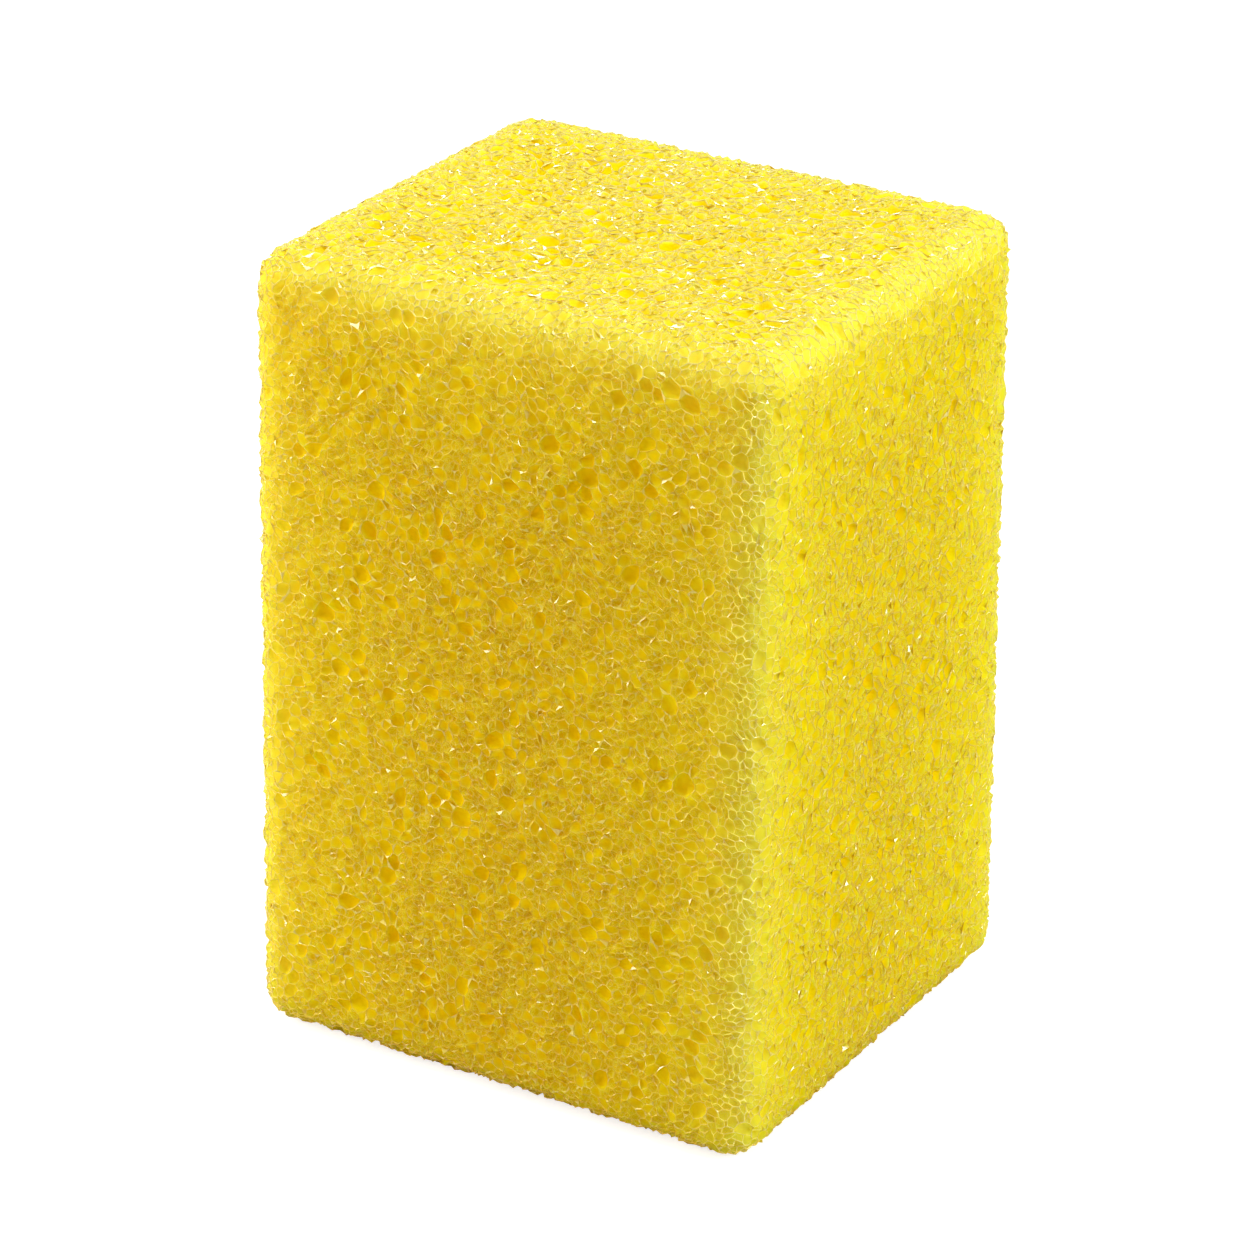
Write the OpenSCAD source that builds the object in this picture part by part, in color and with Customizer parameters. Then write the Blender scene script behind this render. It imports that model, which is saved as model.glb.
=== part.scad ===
// Cleaning sponge: one block of coarse open-cell foam, cut square with softened edges
// and standing on its small end. Large bubbles that the cut opened show as shallow
// round pores on every face.

/* [Block] */
// Width of the block, along X
block_w = 66; // [45:1:120]
// Depth of the block at its base, along Y
base_depth = 61; // [50:1:110]
// Depth of the block at its top, along Y
top_depth = 57; // [45:1:105]
// Height of the block, from base to top
block_h = 95; // [60:1:180]
// Radius of every softened edge
edge_r = 4; // [2:0.5:8]

/* [Pores] */
// Distance from one large pore to the next
pore_pitch = 15; // [11:0.5:40]
// Width of the narrowest large pore at its mouth
pore_min_w = 1.7; // [1:0.1:2]
// Width of the widest large pore at its mouth
pore_max_w = 2.8; // [2.2:0.1:4]
// Depth of every large pore below the cut face
pore_depth = 0.65; // [0.3:0.05:0.9]
// How far a pore may lie from its even place, either way
pore_wander = 2; // [0:0.25:2.5]
// Flat strip between an edge's curve and the nearest pore
pore_margin = 1; // [0.5:0.25:6]

/* [Hidden] */

foam_yellow = "#f0d436";

// Lean of the two deep faces, which makes the base deeper than the top
lean = atan((base_depth - top_depth) / 2 / block_h);
mid_depth = (base_depth + top_depth) / 2;
leaning_h = block_h / cos(lean);

// Overlap that lets one cutting shape run clear past another
past = 2 * edge_r;

// Flats that stand for a full turn of an edge's curve and of a pore in a drawn mesh
edge_fn = 24;
pore_fn = 13;

// Steps of an even scatter in two directions, from the plastic number
plastic = 1.32471795724;
scatter_step = [1 / plastic, 1 / (plastic * plastic)];
// Turns, in degrees from one pore to the next, that move the pores off their even places
wander_turn = [97, 163];
// Step that spreads the pore widths evenly between the narrowest and the widest
width_step = (sqrt(5) - 1) / 2;
// Share of the scatter by which each face starts further on than the face before it
face_step = 1 / 6;

function part_of(x) = x - floor(x);

// Centres of the corner arcs of a section that is base wide below and top wide above
function arc_centres(base, top, height, r) =
    let (
        a = atan((base - top) / 2 / height),
        low = base / 2 - r / cos(a) - r * tan(a),
        high = base / 2 - r / cos(a) - (height - r) * tan(a)
    )
    [[-low, r], [low, r], [high, height - r], [-high, height - r]];

// Unit vector that points out of the edge from p to q, on a section drawn anticlockwise
function outward(p, q) = [q.y - p.y, p.x - q.x] / norm(q - p);

// Flats of the section, each moved out by r from the line between two arc centres
function flats(centres, r) =
    let (n = len(centres))
    [for (i = [0 : n - 1], end = [0, 1])
        centres[(i + end) % n] + r * outward(centres[i], centres[(i + 1) % n])];

// Section with straight flats and true arcs at its corners
module soft_section(centres, r) {
    polygon(flats(centres, r));
    for (c = centres)
        translate(c) circle(r = r, $fn = edge_fn);
}

// Bar along X whose section leans in from base to top
module side_bar() {
    rotate([90, 0, 90])
        linear_extrude(height = block_w + 2 * past, center = true)
            soft_section(arc_centres(base_depth, top_depth, block_h, edge_r), edge_r);
}

// Bar along Y with upright sides
module front_bar() {
    rotate([90, 0, 0])
        linear_extrude(height = base_depth + 2 * past, center = true)
            soft_section(arc_centres(block_w, block_w, block_h, edge_r), edge_r);
}

// Upright bar that rounds the two edges of the front face, or turned by 180 the back face,
// and runs clear of the other face
module leaning_bar(turn) {
    reach = base_depth + past;
    corner_x = block_w / 2 - edge_r;
    near = mid_depth / 2 * cos(lean) - edge_r;
    corners = [[-corner_x, -near], [corner_x, -near], [corner_x, reach], [-corner_x, reach]];
    translate([0, 0, block_h / 2])
        rotate([-lean, 0, turn])
            linear_extrude(height = leaning_h + 2 * past, center = true)
                soft_section(corners, edge_r);
}

// The block as cut and softened, before its bubbles are opened
module soft_block() {
    intersection() {
        side_bar();
        front_bar();
        leaning_bar(0);
        leaning_bar(180);
    }
}

// One opened bubble: a ball whose cap reaches pore_depth under a face at z = 0
module pore(mouth) {
    ball_r = (mouth * mouth / 4 + pore_depth * pore_depth) / (2 * pore_depth);
    translate([0, 0, ball_r - pore_depth])
        sphere(r = ball_r, $fn = pore_fn);
}

// Pores scattered over a face at z = 0, a by b. Each face has its own number, from 1 to 6
module face_pores(a, b, face) {
    inset = edge_r + pore_margin + pore_max_w / 2 + pore_wander;
    count = floor(a * b / (pore_pitch * pore_pitch));
    for (i = [0 : count - 1]) {
        even_x = part_of(1 / 2 + face * face_step + i * scatter_step.x) - 1 / 2;
        even_y = part_of(1 / 2 + i * scatter_step.y) - 1 / 2;
        off = pore_wander * [sin((i + face) * wander_turn.x), sin((i + face) * wander_turn.y)];
        mouth = pore_min_w + (pore_max_w - pore_min_w) * part_of((i + face) * width_step);
        translate([even_x * (a - 2 * inset) + off.x, even_y * (b - 2 * inset) + off.y, 0])
            pore(mouth);
    }
}

// The pores of all six faces
module all_pores() {
    translate([0, -mid_depth / 2, block_h / 2])
        rotate([90 - lean, 0, 0])
            face_pores(block_w, leaning_h, 1);
    translate([0, mid_depth / 2, block_h / 2])
        rotate([90 - lean, 0, 180])
            face_pores(block_w, leaning_h, 2);
    translate([block_w / 2, 0, block_h / 2])
        rotate([90, 0, 90])
            face_pores(top_depth, block_h, 3);
    translate([-block_w / 2, 0, block_h / 2])
        rotate([90, 0, -90])
            face_pores(top_depth, block_h, 4);
    translate([0, 0, block_h])
        face_pores(block_w, top_depth, 5);
    rotate([180, 0, 0])
        face_pores(block_w, base_depth, 6);
}

module foam_block() {
    color(foam_yellow)
        difference() {
            soft_block();
            all_pores();
        }
}

foam_block();
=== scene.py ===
"""Cleaning sponge: a block of coarse open-cell foam, standing on a white studio floor."""
import math

import bmesh
import bpy
import numpy as np
from mathutils import Matrix, Vector, kdtree


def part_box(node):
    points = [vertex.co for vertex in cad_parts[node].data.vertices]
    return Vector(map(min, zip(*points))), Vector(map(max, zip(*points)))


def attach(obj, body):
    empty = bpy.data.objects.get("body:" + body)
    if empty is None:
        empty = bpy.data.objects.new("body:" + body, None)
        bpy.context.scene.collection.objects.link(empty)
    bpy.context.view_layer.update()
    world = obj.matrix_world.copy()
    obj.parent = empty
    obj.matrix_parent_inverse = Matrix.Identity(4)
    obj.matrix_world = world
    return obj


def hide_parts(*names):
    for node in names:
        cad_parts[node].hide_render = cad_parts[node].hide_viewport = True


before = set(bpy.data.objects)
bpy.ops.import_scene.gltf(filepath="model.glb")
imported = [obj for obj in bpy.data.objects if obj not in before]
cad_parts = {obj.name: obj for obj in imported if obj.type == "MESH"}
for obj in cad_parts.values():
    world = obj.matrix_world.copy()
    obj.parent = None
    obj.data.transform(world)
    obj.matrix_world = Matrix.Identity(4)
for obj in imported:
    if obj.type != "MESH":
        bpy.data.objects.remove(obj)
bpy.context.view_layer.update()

MM = 0.001

# The block, as the part's source names its sizes
BASE_DEPTH = 61 * MM
TOP_DEPTH = 57 * MM
EDGE_R = 4 * MM
low, high = (Vector(corner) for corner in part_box("foam_block"))
BLOCK_W = high.x - low.x
BLOCK_H = high.z
LEAN = math.atan((BASE_DEPTH - TOP_DEPTH) / 2 / BLOCK_H)

# The large pores, scattered over the faces by the rule of the part's source
PORE_PITCH = 15 * MM
PORE_MIN_W = 1.7 * MM
PORE_MAX_W = 2.8 * MM
PORE_WANDER = 2 * MM
PORE_MARGIN = 1 * MM
PLASTIC = 1.32471795724
SCATTER_STEP = (1 / PLASTIC, 1 / PLASTIC ** 2)
WANDER_TURN = (math.radians(97), math.radians(163))
WIDTH_STEP = (math.sqrt(5) - 1) / 2
FACE_STEP = 1 / 6

# The foam's common cells: their width before some of them merge, and how uneven they lie
CELL_W = 1.0 * MM
CELL_SCATTER = 0.42
# Width of the wider cells between the large pores, and the share of cells that they start from
WIDE_CELL_W = (1.5 * MM, 2.1 * MM)
WIDE_CELL_SHARE = 0.05
# How far from its middle a wide cell draws points in, and how far it keeps the next one off, by its width
DRAWN_IN = 0.62
KEPT_OFF = 1.1
# Distance under which points are one
MERGE_W = 0.01 * MM
# Flats across each rounded edge
EDGE_FLATS = 6
# Width from which a cell is round and deep enough to need an inner ring of corners
RINGED_CELL_W = 1.9 * MM
# Width and depth of that ring as shares of its cell's
RING_W = 0.72
RING_DEPTH = 0.7
# How far cell corners stand out from the cut face or lie below it at most
CORNER_OUT = 0.20 * MM
CORNER_IN = 0.36 * MM
# Least and greatest depth of a cell as a share of its width
CELL_DEPTH = (0.16, 0.36)
# Width of the thickest struts, the thinnest ones' share of it, and how much thin ones outnumber thick ones
STRUT_W = 0.24 * MM
THIN_STRUT = 0.25
THIN_BIAS = 1.6
# Torn films: the share of cell corners that keep one at the sides and on the frayed top, how far a film
# runs along its struts, how high it lies on them, and how thick it is
FILM_SHARE = 0.13
TOP_FILM_SHARE = 0.40
FILM_REACH = (0.3, 0.9)
FILM_LIFT = 0.05 * MM
FILM_W = 0.03 * MM
# Distances from an edge over which the colour is painted lighter, as painted light shining out of the foam:
# the pale painted edge light and the deep painted glow
EDGE_LIGHT_W = 2.5 * MM
GLOW_W = 13 * MM
# How far below the top the colour is painted paler, as painted light from above, and the share of the deep
# painted glow that is kept there
TOP_LIGHT_W = 2 * MM
TOP_GLOW_SHARE = 0.35

# Fine threads inside the cells, coarse and fine ones: their spacing, how wide their lines are drawn, and how
# much they pale the colour
THREADS = ((1.1 * MM, 0.033, 0.75), (0.45 * MM, 0.047, 0.8))
# Value of the wide attribute from which no thread shows
THREADLESS = 0.35
# How narrow the pale line on a cell's rim is, and how much it pales the colour
RIM_POWER = 4.0
RIM_SHARE = 0.5
# How high the threads stand in the bump
THREAD_RELIEF = 0.1 * MM
# How far light travels inside the foam
LIGHT_REACH = 7 * MM
# Roughness of the struts where they are smooth as blown and where they are dull as torn, and the values of
# the noise from which they are the one and the other
STRUT_ROUGHNESS = (0.08, 0.4)
TORN_NOISE = (0.35, 0.65)
# Share of the light that passes through a strut and through a film
STRUT_THROUGH = 0.5
FILM_THROUGH = 0.3

SEED = 7
rng = np.random.default_rng(SEED)


def part_of(x):
    """The part of a number after its point."""
    return x - math.floor(x)


def linear(hex_colour):
    """An sRGB hex colour as the linear values that Blender works in."""
    parts = [int(hex_colour[i:i + 2], 16) / 255 for i in (1, 3, 5)]
    return [c / 12.92 if c <= 0.04045 else ((c + 0.055) / 1.055) ** 2.4 for c in parts] + [1.0]


def activate(piece):
    """Make one object the only selected and the active one."""
    bpy.ops.object.select_all(action="DESELECT")
    piece.select_set(True)
    bpy.context.view_layer.objects.active = piece


def apply_modifiers(piece):
    """Bake every modifier of a piece into its mesh."""
    activate(piece)
    for modifier in list(piece.modifiers):
        bpy.ops.object.modifier_apply(modifier=modifier.name)


def coordinates(mesh):
    """A mesh's vertex positions as an array."""
    flat = np.empty(len(mesh.vertices) * 3)
    mesh.vertices.foreach_get("co", flat)
    return flat.reshape(-1, 3)


def normals(mesh):
    """A mesh's vertex normals as an array."""
    flat = np.empty(len(mesh.vertices) * 3)
    mesh.vertices.foreach_get("normal", flat)
    return flat.reshape(-1, 3)


def move_vertices(mesh, places):
    """Put a mesh's vertices at the places in an array."""
    mesh.vertices.foreach_set("co", places.astype(np.float32).ravel())
    mesh.update()


def face_frames():
    """Each face of the block: its width, height and number, and the matrix that lays it there."""
    mid_depth = (BASE_DEPTH + TOP_DEPTH) / 2
    leaning_h = BLOCK_H / math.cos(LEAN)
    right = math.pi / 2
    upright = Matrix.Rotation(right - LEAN, 4, "X")
    half_up = Matrix.Translation((0, 0, BLOCK_H / 2))
    front = Matrix.Translation((0, -mid_depth / 2, BLOCK_H / 2)) @ upright
    side = Matrix.Translation((BLOCK_W / 2, 0, 0)) @ Matrix.Rotation(right, 4, "Z")
    side = side @ Matrix.Rotation(right, 4, "X")
    about = Matrix.Rotation(math.pi, 4, "Z")
    top = Matrix.Translation((0, 0, BLOCK_H))
    base = Matrix.Rotation(math.pi, 4, "X")
    return [
        (BLOCK_W, leaning_h, 1, front),
        (BLOCK_W, leaning_h, 2, about @ front),
        (TOP_DEPTH, BLOCK_H, 3, half_up @ side),
        (TOP_DEPTH, BLOCK_H, 4, half_up @ about @ side),
        (BLOCK_W, TOP_DEPTH, 5, top),
        (BLOCK_W, BASE_DEPTH, 6, base),
    ]


def large_pores():
    """Centre and width of every large pore, where the part's source has them."""
    inset = EDGE_R + PORE_MARGIN + PORE_MAX_W / 2 + PORE_WANDER
    pores = []
    for a, b, face, place in face_frames():
        for i in range(int(a * b / PORE_PITCH ** 2)):
            even_x = part_of(1 / 2 + face * FACE_STEP + i * SCATTER_STEP[0]) - 1 / 2
            even_y = part_of(1 / 2 + i * SCATTER_STEP[1]) - 1 / 2
            x = even_x * (a - 2 * inset) + PORE_WANDER * math.sin((i + face) * WANDER_TURN[0])
            y = even_y * (b - 2 * inset) + PORE_WANDER * math.sin((i + face) * WANDER_TURN[1])
            width = PORE_MIN_W + (PORE_MAX_W - PORE_MIN_W) * part_of((i + face) * WIDTH_STEP)
            pores.append((place @ Vector((x, y, 0)), width))
    return pores


def cut_block():
    """The block as it is cut and softened: a box, leaned in to its top, with rounded edges.

    Its mesh is even, with points about one cell apart.
    """
    bpy.ops.object.select_all(action="DESELECT")
    bpy.ops.mesh.primitive_cube_add(size=1, location=(0, 0, 0))
    block = bpy.context.object
    block.name = "foam_cells"
    mesh = block.data
    bpy.ops.object.mode_set(mode="EDIT")
    bpy.ops.transform.resize(value=(BLOCK_W, BASE_DEPTH, BLOCK_H))
    bpy.ops.transform.translate(value=(0, 0, BLOCK_H / 2))
    bpy.ops.object.mode_set(mode="OBJECT")
    for vertex in mesh.vertices:
        vertex.select = vertex.co.z > BLOCK_H / 2
    for edge in mesh.edges:
        edge.select = all(mesh.vertices[v].select for v in edge.vertices)
    for face in mesh.polygons:
        face.select = all(mesh.vertices[v].select for v in face.vertices)
    bpy.ops.object.mode_set(mode="EDIT")
    bpy.ops.transform.resize(value=(1, TOP_DEPTH / BASE_DEPTH, 1))
    bpy.ops.mesh.select_all(action="SELECT")
    bpy.ops.mesh.bevel(offset=EDGE_R, segments=EDGE_FLATS, affect="EDGES")
    bpy.ops.object.mode_set(mode="OBJECT")
    remesh = block.modifiers.new("even", "REMESH")
    remesh.mode = "VOXEL"
    remesh.voxel_size = CELL_W
    apply_modifiers(block)
    return block


def scatter_cells(block):
    """Unsettle the even mesh and merge some of its points, so that its cells differ in size."""
    mesh = block.data
    places = coordinates(mesh)
    outward = normals(mesh)
    shift = rng.uniform(-CELL_SCATTER, CELL_SCATTER, places.shape) * CELL_W
    shift -= outward * (shift * outward).sum(1, keepdims=True)
    places += shift

    tree = kdtree.KDTree(len(places))
    for i, place in enumerate(places):
        tree.insert(place, i)
    tree.balance()
    cells = large_pores()
    starts = rng.permutation(len(places))[:int(len(places) * WIDE_CELL_SHARE)]
    cells += [(Vector(places[i]), rng.uniform(*WIDE_CELL_W)) for i in starts]
    taken = np.zeros(len(places), bool)
    for centre, width in cells:
        near = [i for _, i, _ in tree.find_range(centre, width * DRAWN_IN)]
        around = [i for _, i, _ in tree.find_range(centre, width * KEPT_OFF)]
        if taken[around].any() or not near:
            continue
        taken[near] = True
        places[near] = centre
    move_vertices(mesh, places)

    shape = bmesh.new()
    shape.from_mesh(mesh)
    bmesh.ops.triangulate(shape, faces=shape.faces, quad_method="BEAUTY")
    bmesh.ops.remove_doubles(shape, verts=shape.verts, dist=MERGE_W)
    bmesh.ops.dissolve_degenerate(shape, edges=shape.edges, dist=MERGE_W)
    bmesh.ops.triangulate(shape, faces=shape.faces, quad_method="BEAUTY")
    bmesh.ops.beautify_fill(shape, faces=shape.faces, edges=shape.edges, method="ANGLE")
    shape.to_mesh(mesh)
    shape.free()


def turn_into_cells(block):
    """Swap points for faces, so that every scattered point becomes a cell with many sides."""
    tree = bpy.data.node_groups.new("cells", "GeometryNodeTree")
    tree.interface.new_socket("Geometry", in_out="INPUT", socket_type="NodeSocketGeometry")
    tree.interface.new_socket("Geometry", in_out="OUTPUT", socket_type="NodeSocketGeometry")
    start = tree.nodes.new("NodeGroupInput")
    dual = tree.nodes.new("GeometryNodeDualMesh")
    end = tree.nodes.new("NodeGroupOutput")
    tree.links.new(start.outputs[0], dual.inputs[0])
    tree.links.new(dual.outputs[0], end.inputs[0])
    modifier = block.modifiers.new("cells", "NODES")
    modifier.node_group = tree
    apply_modifiers(block)


def roughen_corners(block):
    """Let the corners of the cells stand out or lie in, as torn and cut struts do, and be thick or thin.

    The block stands on the lowest ones, so none reaches below the floor.
    """
    mesh = block.data
    count = len(mesh.vertices)
    height = rng.uniform(-CORNER_IN, CORNER_OUT, count)
    places = coordinates(mesh) + normals(mesh) * height[:, None]
    places[:, 2] = np.maximum(places[:, 2], STRUT_W / 2)
    move_vertices(mesh, places)
    thickness = block.vertex_groups.new(name="thickness")
    weight = np.round(rng.uniform(0, 1, count) ** THIN_BIAS, 1)
    for step in np.unique(weight):
        thickness.add(np.flatnonzero(weight == step).tolist(), float(step), "REPLACE")


def close_gaps(block):
    """Fill the few cells that the swap left out."""
    shape = bmesh.new()
    shape.from_mesh(block.data)
    rims = [edge for edge in shape.edges if edge.is_boundary]
    bmesh.ops.holes_fill(shape, edges=rims, sides=0)
    bmesh.ops.recalc_face_normals(shape, faces=shape.faces)
    shape.to_mesh(block.data)
    shape.free()


def paint(mesh, name, values):
    """Store one number for each vertex of a mesh, for its material to read."""
    mesh.attributes.new(name, "FLOAT", "POINT").data.foreach_set("value", values.astype(np.float32))


def paint_edge_and_top_light(mesh):
    """Store painted light at each vertex: a pale edge light, a deep glow, and light from above.

    The edge light and the glow are painted near the block's upright and top edges and fade farther in. The
    light from above is painted near the top, where it pales the colour and damps the glow.
    """
    places = coordinates(mesh)
    height = places[:, 2]
    half_depth = (BASE_DEPTH + (TOP_DEPTH - BASE_DEPTH) * height / BLOCK_H) / 2
    under = [BLOCK_W / 2 - np.abs(places[:, 0]), half_depth - np.abs(places[:, 1]), BLOCK_H - height]
    from_edge = np.sort(np.clip(under, 0, None), axis=0)[1]
    # Painted edge light: the colour is painted paler close to the upright and top edges
    paint(mesh, "painted_edge_light", np.exp(-from_edge / EDGE_LIGHT_W))
    # Painted light from above: the colour is painted paler near the top
    painted_top_light = np.exp(-np.clip(BLOCK_H - height, 0, None) / TOP_LIGHT_W)
    paint(mesh, "painted_top_light", painted_top_light)
    # Painted glow: a lighter colour that fades in from the upright and top edges, damped on top
    paint(mesh, "glow", np.exp(-from_edge / GLOW_W) * (1 - painted_top_light * (1 - TOP_GLOW_SHARE)))


def foam_body(cells):
    """The foam's own surface: every cell sinks from its rim to a low point in the middle."""
    source = cells.data
    places = coordinates(source)
    outward = normals(source)
    points = list(map(tuple, places))
    rim = [1.0] * len(points)
    wide = [0.0] * len(points)
    faces = []
    for cell in source.polygons:
        ring = list(cell.vertices)
        corners = places[ring]
        middle = corners.mean(0)
        width = 2 * np.linalg.norm(corners - middle, axis=1).mean()
        down = -outward[ring].mean(0)
        down /= np.linalg.norm(down)
        depth = width * rng.uniform(*CELL_DEPTH)
        count = len(ring)
        if width > RINGED_CELL_W:
            inner = len(points)
            for corner in corners:
                points.append(tuple(middle + (corner - middle) * RING_W + down * depth * RING_DEPTH))
                rim.append(0.0)
                wide.append(1.0)
            for i in range(count):
                j = (i + 1) % count
                faces.append((ring[i], ring[j], inner + j))
                faces.append((ring[i], inner + j, inner + i))
            ring = [inner + i for i in range(count)]
        points.append(tuple(middle + down * depth))
        rim.append(0.0)
        wide.append(float(width > WIDE_CELL_W[0]))
        for i in range(count):
            faces.append((ring[i], ring[(i + 1) % count], len(points) - 1))
    mesh = bpy.data.meshes.new("foam_body")
    mesh.from_pydata(points, [], faces)
    mesh.update()
    mesh.shade_smooth()
    paint(mesh, "rim", np.array(rim))
    paint(mesh, "wide", np.array(wide))
    paint_edge_and_top_light(mesh)
    body = bpy.data.objects.new("foam_body", mesh)
    bpy.context.collection.objects.link(body)
    return body


def struts(cells, name, direction):
    """The net of struts along the rims of the cells that face one way."""
    piece = cells.copy()
    piece.data = cells.data.copy()
    piece.name = name
    bpy.context.collection.objects.link(piece)
    shape = bmesh.new()
    shape.from_mesh(piece.data)
    others = [f for f in shape.faces if facing(f.normal) != direction]
    bmesh.ops.delete(shape, geom=others, context="FACES")
    shape.to_mesh(piece.data)
    shape.free()
    wire = piece.modifiers.new("struts", "WIREFRAME")
    wire.thickness = STRUT_W
    wire.vertex_group = "thickness"
    wire.thickness_vertex_group = THIN_STRUT
    wire.use_boundary = True
    wire.use_even_offset = False
    wire.offset = 0
    apply_modifiers(piece)
    piece.data.shade_flat()
    paint_edge_and_top_light(piece.data)
    return piece


def films(cells):
    """What is left of the cells' windows: small thin sheets in the corners of the cells, which glint."""
    source = cells.data
    places = coordinates(source) + normals(source) * FILM_LIFT
    points = []
    faces = []
    for cell in source.polygons:
        ring = places[list(cell.vertices)]
        down = -np.array(cell.normal) * FILM_W
        axis, above = facing(cell.normal)
        share = FILM_SHARE if axis < 2 else TOP_FILM_SHARE * above
        for i in np.flatnonzero(rng.uniform(0, 1, len(ring)) < share):
            corner = ring[i]
            reach = rng.uniform(*FILM_REACH)
            before = corner + (ring[i - 1] - corner) * reach
            after = corner + (ring[(i + 1) % len(ring)] - corner) * reach
            first = len(points)
            points += [before, corner, after, (before + corner + after) / 3 + down]
            faces += [(first, first + 1, first + 2), (first + 1, first, first + 3),
                      (first + 2, first + 1, first + 3), (first, first + 2, first + 3)]
    mesh = bpy.data.meshes.new("foam_films")
    mesh.from_pydata(points, [], faces)
    mesh.update()
    paint_edge_and_top_light(mesh)
    piece = bpy.data.objects.new("foam_films", mesh)
    bpy.context.collection.objects.link(piece)
    return piece


def facing(normal):
    """The one of six directions that a normal is nearest to, as an axis number and a sign."""
    axis = max(range(3), key=lambda i: abs(normal[i]))
    return axis, normal[axis] > 0


def add(tree, kind, links=(), **settings):
    """Add a node with its settings, and its links as (input, output socket) pairs."""
    node = tree.nodes.new(kind)
    for name, value in settings.items():
        setattr(node, name, value)
    for socket, source in links:
        if hasattr(source, "is_output"):
            tree.links.new(source, node.inputs[socket])
        else:
            node.inputs[socket].default_value = source
    return node


def open_cell_polyurethane():
    """Open-cell polyurethane foam, dyed yellow and cut: deep gold in its cells, pale on their rims.

    Between the wide cells it is full of finer threads, which show as thin pale lines. The wide cells are
    painted a brighter gold, to make up for the shade in their deep bowls. It is matt, and light that enters
    it comes out again beside. Its colour is also painted lighter near the upright and top edges, as painted
    glow and edge light, and paler on top, as painted light from above.
    """
    material = bpy.data.materials.new("open_cell_polyurethane")
    material.use_nodes = True
    tree = material.node_tree
    shader = tree.nodes["Principled BSDF"]
    place = add(tree, "ShaderNodeTexCoord").outputs["Object"]
    rim, wide, glow, painted_edge_light, painted_top_light = (add(tree, "ShaderNodeAttribute", attribute_name=name).outputs["Fac"]
                                       for name in ("rim", "wide", "glow", "painted_edge_light", "painted_top_light"))
    nets = []
    for spacing, line_w, strength in THREADS:
        noise = add(tree, "ShaderNodeTexNoise", [("Vector", place), ("Scale", 1 / spacing), ("Detail", 0.5)])
        off = add(tree, "ShaderNodeMath", [(0, noise.outputs["Fac"]), (1, 0.5)], operation="SUBTRACT")
        off = add(tree, "ShaderNodeMath", [(0, off.outputs[0])], operation="ABSOLUTE")
        net = add(tree, "ShaderNodeMapRange", [("Value", off.outputs[0]), ("From Max", line_w),
                                               ("To Min", strength), ("To Max", 0.0)],
                  interpolation_type="SMOOTHSTEP")
        nets.append(net.outputs[0])
    threads = add(tree, "ShaderNodeMath", [(0, nets[0]), (1, nets[1])], operation="MAXIMUM")
    narrow = add(tree, "ShaderNodeMapRange", [("Value", wide), ("From Max", THREADLESS), ("To Min", 1.0),
                                              ("To Max", 0.0)])
    threads = add(tree, "ShaderNodeMath", [(0, threads.outputs[0]), (1, narrow.outputs[0])],
                  operation="MULTIPLY").outputs[0]
    edge = add(tree, "ShaderNodeMath", [(0, rim), (1, RIM_POWER)], operation="POWER")
    edge = add(tree, "ShaderNodeMath", [(0, edge.outputs[0]), (1, RIM_SHARE)], operation="MULTIPLY")
    share = add(tree, "ShaderNodeMath", [(0, edge.outputs[0]), (1, threads)], operation="MAXIMUM",
                use_clamp=True)
    # Wide cells painted a brighter gold, to make up for the shade in their deep bowls
    pit = add(tree, "ShaderNodeMix", [("Factor", wide), (6, linear("#e6b802")), (7, linear("#fcca06"))],
              data_type="RGBA")
    # Painted glow: the cells' gold painted lighter towards the upright and top edges
    pit = add(tree, "ShaderNodeMix", [("Factor", glow), (6, pit.outputs[2]), (7, linear("#fcde0a"))],
              data_type="RGBA")
    # Painted light from above: the rims' pale colour painted paler still on top
    pale = add(tree, "ShaderNodeMix", [("Factor", painted_top_light), (6, linear("#f6dc50")), (7, linear("#f0da7a"))],
               data_type="RGBA")
    colour = add(tree, "ShaderNodeMix", [("Factor", share.outputs[0]), (6, pit.outputs[2]),
                                         (7, pale.outputs[2])], data_type="RGBA")
    # Painted edge light: the colour painted paler right at the upright and top edges
    colour = add(tree, "ShaderNodeMix", [("Factor", painted_edge_light), (6, colour.outputs[2]), (7, linear("#f6e05a"))],
                 data_type="RGBA")
    tree.links.new(colour.outputs[2], shader.inputs["Base Color"])
    relief = add(tree, "ShaderNodeBump",
                 [("Height", threads), ("Strength", 0.4), ("Distance", THREAD_RELIEF)])
    tree.links.new(relief.outputs[0], shader.inputs["Normal"])
    shader.inputs["Roughness"].default_value = 0.42
    shader.inputs["Specular IOR Level"].default_value = 0
    shader.inputs["Subsurface Weight"].default_value = 0.55
    shader.inputs["Subsurface Radius"].default_value = (1.0, 0.8, 0.12)
    shader.inputs["Subsurface Scale"].default_value = LIGHT_REACH
    return material


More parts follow.
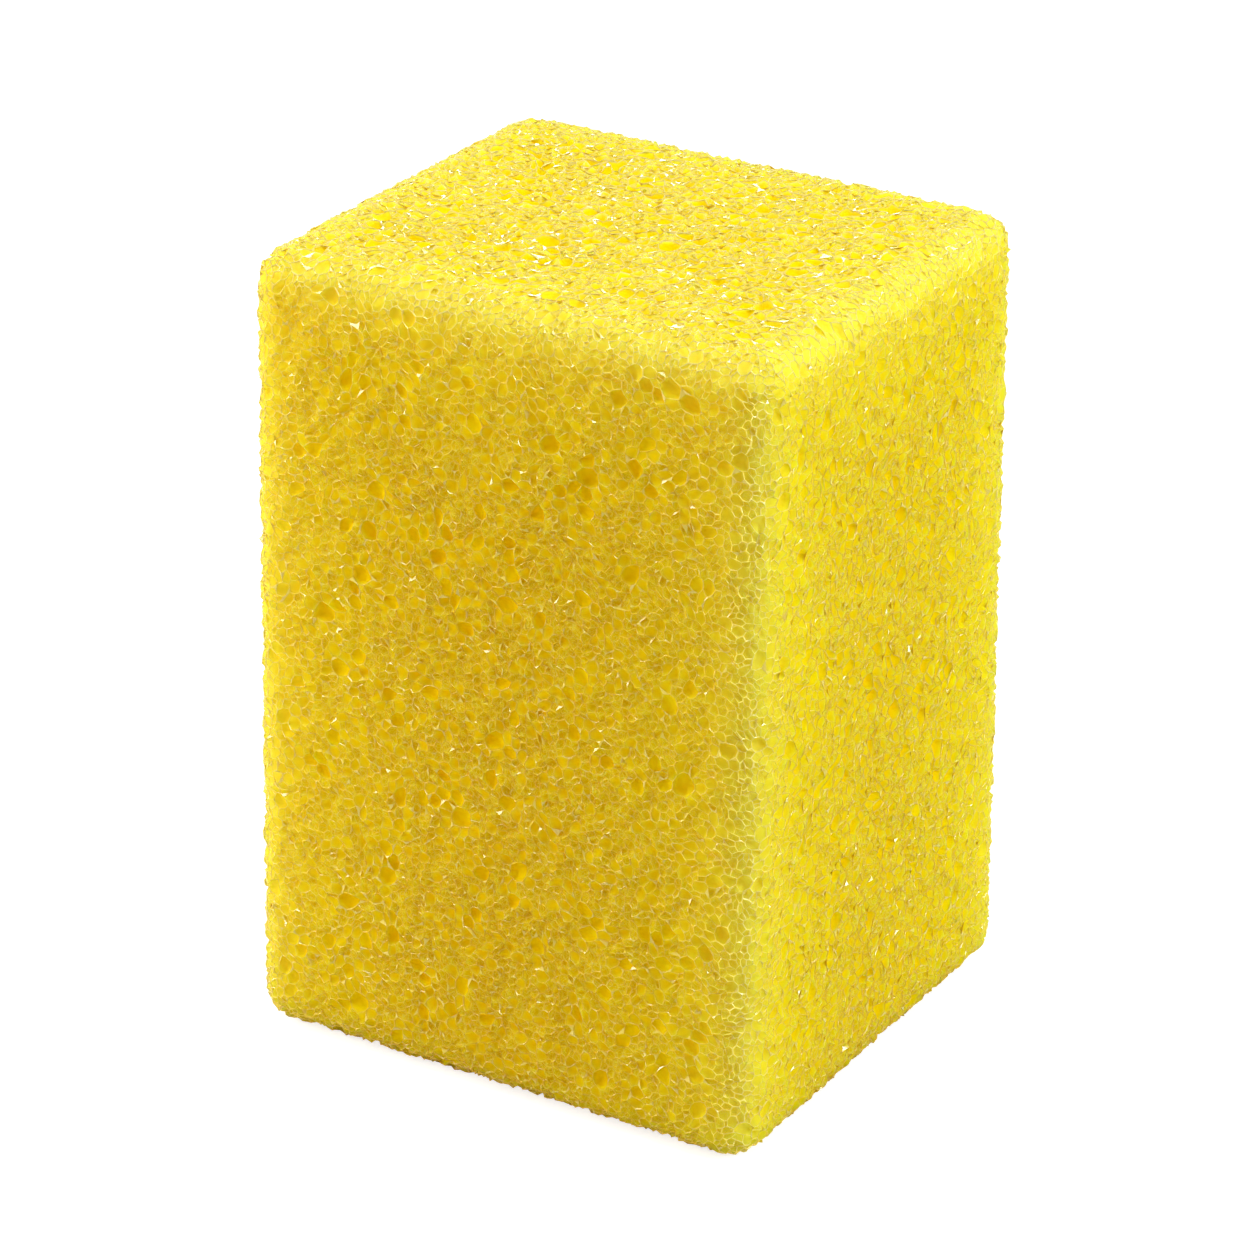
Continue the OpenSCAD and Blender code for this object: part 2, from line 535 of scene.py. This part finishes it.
def polyurethane_struts():
    """The same foam where it is thin: struts that let light through and shine where they are cut.

    They are smooth as blown in some places and dull as torn in others.
    """
    material = bpy.data.materials.new("polyurethane_struts")
    material.use_nodes = True
    tree = material.node_tree
    shader = tree.nodes["Principled BSDF"]
    glow, painted_edge_light, painted_top_light = (add(tree, "ShaderNodeAttribute", attribute_name=name).outputs["Fac"]
                            for name in ("glow", "painted_edge_light", "painted_top_light"))
    # Painted glow: the struts painted lighter towards the upright and top edges
    colour = add(tree, "ShaderNodeMix", [("Factor", glow), (6, linear("#eccc20")), (7, linear("#feee48"))],
                 data_type="RGBA")
    # Painted light from above: the struts painted paler on top
    colour = add(tree, "ShaderNodeMix", [("Factor", painted_top_light), (6, colour.outputs[2]), (7, linear("#f2e08c"))],
                 data_type="RGBA")
    # Painted edge light: the struts painted paler still right at the upright and top edges
    colour = add(tree, "ShaderNodeMix", [("Factor", painted_edge_light), (6, colour.outputs[2]), (7, linear("#fff6b4"))],
                 data_type="RGBA").outputs[2]
    tree.links.new(colour, shader.inputs["Base Color"])
    place = add(tree, "ShaderNodeTexCoord").outputs["Object"]
    torn = add(tree, "ShaderNodeTexNoise", [("Vector", place), ("Scale", 1 / CELL_W)])
    dull = add(tree, "ShaderNodeMapRange",
               [("Value", torn.outputs["Fac"]), ("From Min", TORN_NOISE[0]), ("From Max", TORN_NOISE[1]),
                ("To Min", STRUT_ROUGHNESS[0]), ("To Max", STRUT_ROUGHNESS[1])])
    tree.links.new(dull.outputs[0], shader.inputs["Roughness"])
    shader.inputs["Specular IOR Level"].default_value = 0.9
    shader.inputs["Sheen Weight"].default_value = 0.4
    shader.inputs["Sheen Roughness"].default_value = 0.4
    through = add(tree, "ShaderNodeBsdfTranslucent", [("Color", colour)])
    both = add(tree, "ShaderNodeMixShader",
               [(0, STRUT_THROUGH), (1, shader.outputs[0]), (2, through.outputs[0])])
    tree.links.new(both.outputs[0], tree.nodes["Material Output"].inputs["Surface"])
    return material


def polyurethane_film():
    """The same foam at its thinnest: the torn windows of its cells, smooth and shiny as they were blown."""
    material = bpy.data.materials.new("polyurethane_film")
    material.use_nodes = True
    tree = material.node_tree
    shader = tree.nodes["Principled BSDF"]
    shader.inputs["Base Color"].default_value = linear("#f4dc48")
    shader.inputs["Roughness"].default_value = 0.1
    shader.inputs["Specular IOR Level"].default_value = 1
    through = add(tree, "ShaderNodeBsdfTranslucent")
    through.inputs["Color"].default_value = linear("#f4d430")
    both = add(tree, "ShaderNodeMixShader",
               [(0, FILM_THROUGH), (1, shader.outputs[0]), (2, through.outputs[0])])
    tree.links.new(both.outputs[0], tree.nodes["Material Output"].inputs["Surface"])
    return material


# The camera as the photograph has it, fitted to the block's outline, and what the lamps are turned to
IMAGE_PX = 1254
SENSOR_W = 36
VIEW_TURN = math.radians(31.06)
VIEW_HEIGHT = math.radians(25.12)
VIEW_ROLL = math.radians(0.43)
VIEW_DISTANCE = 5.998 * BLOCK_H
FOCUS_PX = 4984
AIM = Vector((-0.0104 * BLOCK_H, 0, 0.4871 * BLOCK_H))
LAMP_AIM = (0, 0, BLOCK_H / 2)
# Light from the white surroundings, and what the floor adds to the eye so that it shows white too
WORLD_LIGHT = 0.43
FLOOR_GLOW = 0.75
# Width of the floor
FLOOR_W = 6
# Each lamp: its name, its width in metres, its power in watts, its place and its tint
LAMPS = (
    ("sky", 0.22, 2.3, (0.06, -0.08, 0.64), "#e0ffff"),
    ("window", 0.25, 2.75, (0.6, 0.1, 0.35), "#e6ffff"),
    ("rear_window", 0.29, 2.7, (-0.35, 0.62, 0.42), "#e0ffff"),
    ("left_window", 0.15, 0.5, (-0.25, -0.13, 0.14), "#ffffff"),
    ("front_spark", 0.12, 0.5, (-0.42, -0.56, 0.15), "#ffffff"),
)


def camera():
    """The camera, turned round the block, raised and rolled a little."""
    lens = bpy.data.cameras.new("camera")
    lens.sensor_width = SENSOR_W
    lens.lens = FOCUS_PX * SENSOR_W / IMAGE_PX
    lens.clip_end = 10
    back = Vector((math.sin(VIEW_TURN) * math.cos(VIEW_HEIGHT),
                   -math.cos(VIEW_TURN) * math.cos(VIEW_HEIGHT), math.sin(VIEW_HEIGHT)))
    right = Vector((math.cos(VIEW_TURN), math.sin(VIEW_TURN), 0))
    up = back.cross(right)
    rolled_right = right * math.cos(VIEW_ROLL) + up * math.sin(VIEW_ROLL)
    rolled_up = up * math.cos(VIEW_ROLL) - right * math.sin(VIEW_ROLL)
    piece = bpy.data.objects.new("camera", lens)
    turn = Matrix((rolled_right, rolled_up, back)).transposed().to_4x4()
    piece.matrix_world = Matrix.Translation(AIM + back * VIEW_DISTANCE) @ turn
    bpy.context.collection.objects.link(piece)
    bpy.context.scene.camera = piece


def lamp(name, size, power, place, tint):
    """A soft square lamp at a place, turned to the block."""
    light = bpy.data.lights.new(name, "AREA")
    light.size = size
    light.energy = power
    light.color = linear(tint)[:3]
    piece = bpy.data.objects.new(name, light)
    piece.location = place
    piece.rotation_euler = (Vector(place) - Vector(LAMP_AIM)).to_track_quat("Z", "Y").to_euler()
    bpy.context.collection.objects.link(piece)


def white_to_the_eye(tree):
    """A share: 1 for what the camera, a gloss or a clear film sees, and 0 for what lights the block."""
    path = add(tree, "ShaderNodeLightPath")
    seen = add(tree, "ShaderNodeMath",
               [(0, path.outputs["Is Camera Ray"]), (1, path.outputs["Is Glossy Ray"])], operation="MAXIMUM")
    return add(tree, "ShaderNodeMath", [(0, seen.outputs[0]), (1, path.outputs["Is Transmission Ray"])],
               operation="MAXIMUM")


def studio():
    """White surroundings, a floor that shows white, and soft lamps above, behind and at both sides."""
    world = bpy.data.worlds.new("studio")
    bpy.context.scene.world = world
    world.use_nodes = True
    tree = world.node_tree
    seen = white_to_the_eye(tree)
    strength = add(tree, "ShaderNodeMapRange", [("Value", seen.outputs[0]), ("To Min", WORLD_LIGHT),
                                                ("To Max", 1.0)])
    ground = tree.nodes["Background"]
    ground.inputs["Color"].default_value = (1, 1, 1, 1)
    tree.links.new(strength.outputs[0], ground.inputs["Strength"])
    for values in LAMPS:
        lamp(*values)

    bpy.ops.object.select_all(action="DESELECT")
    bpy.ops.mesh.primitive_plane_add(size=FLOOR_W)
    floor = bpy.context.object
    floor.name = "floor"
    # White background paper from a roll, pressed matt: it shows plain white and keeps the block's shadow
    paper = bpy.data.materials.new("studio_paper")
    paper.use_nodes = True
    shader = paper.node_tree.nodes["Principled BSDF"]
    shader.inputs["Base Color"].default_value = linear("#c8c8c8")
    shader.inputs["Roughness"].default_value = 1
    shader.inputs["Specular IOR Level"].default_value = 0
    shader.inputs["Emission Color"].default_value = (1, 1, 1, 1)
    seen = white_to_the_eye(paper.node_tree)
    glow = add(paper.node_tree, "ShaderNodeMath", [(0, seen.outputs[0]), (1, FLOOR_GLOW)],
               operation="MULTIPLY")
    paper.node_tree.links.new(glow.outputs[0], shader.inputs["Emission Strength"])
    floor.data.materials.append(paper)


# The side that each net of struts lies on, as an axis and whether it points along it
SIDES = {"front": (1, False), "back": (1, True), "left": (0, False), "right": (0, True),
         "base": (2, False), "top": (2, True)}

cells = cut_block()
scatter_cells(cells)
turn_into_cells(cells)
close_gaps(cells)
roughen_corners(cells)
body = foam_body(cells)
body.data.materials.append(open_cell_polyurethane())
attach(body, "root")
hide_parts("foam_block")
strut_finish = polyurethane_struts()
for side, direction in SIDES.items():
    net = struts(cells, "foam_struts_" + side, direction)
    net.data.materials.clear()
    net.data.materials.append(strut_finish)
    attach(net, "root")
sheets = films(cells)
sheets.data.materials.append(polyurethane_film())
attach(sheets, "root")
bpy.data.objects.remove(cells)
camera()
studio()
bpy.context.scene.view_settings.view_transform = "Standard"
